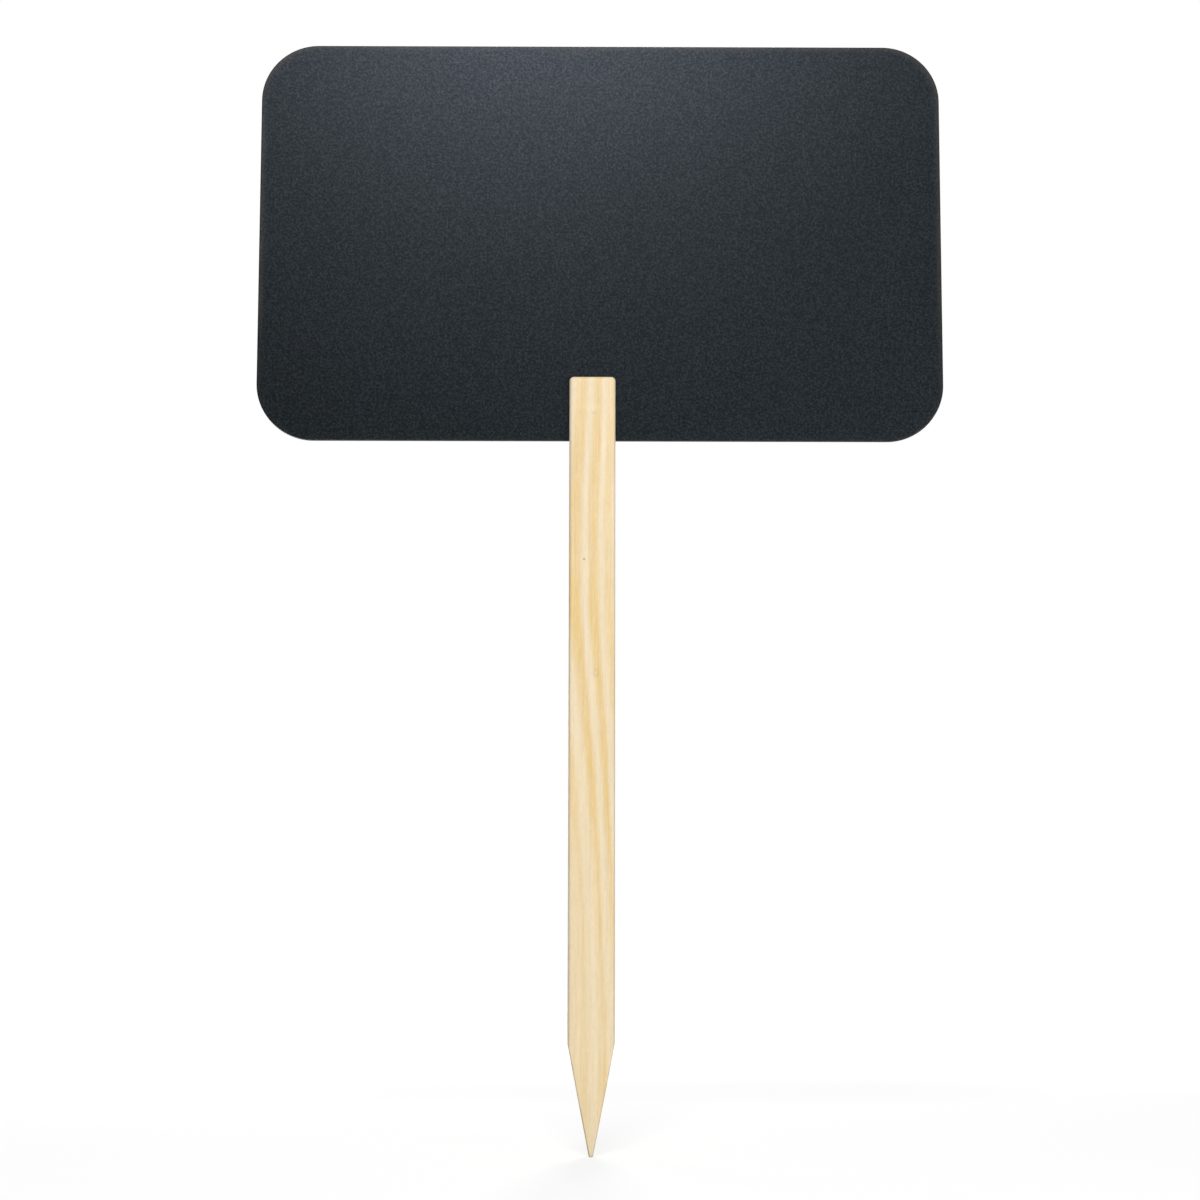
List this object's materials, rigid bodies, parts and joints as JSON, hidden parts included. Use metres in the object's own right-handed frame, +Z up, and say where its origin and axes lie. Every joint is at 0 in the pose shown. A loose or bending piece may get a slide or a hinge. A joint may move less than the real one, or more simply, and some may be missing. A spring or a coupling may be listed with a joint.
{
  "type": "chalkboard stake",
  "caption": "Black chalkboard with rounded corners, held in the sawn slot of a flat pine stake whose point pushes into soil or a planter.",
  "frame": {"origin": "tip of the stake, on the stake's axis", "axes": "+Z up the stake, -Y out of the board's front face, +X to the right seen from the front"},
  "size_m": [0.3, 0.012, 0.484],
  "materials": {
    "pine": "satin",
    "edge_paint": "matte",
    "chalk_face": "matte"
  },
  "bodies": {
    "stake": {"stake": "pine"},
    "board": {"board_core": "edge_paint", "front_chalk_face": "chalk_face", "back_chalk_face": "chalk_face"}
  },
  "joints": [
    {"name": "board_lift", "type": "slide", "parent": "stake", "child": "board", "axis": [0, 0, 1], "range_m": [0, 0.025]}
  ]
}
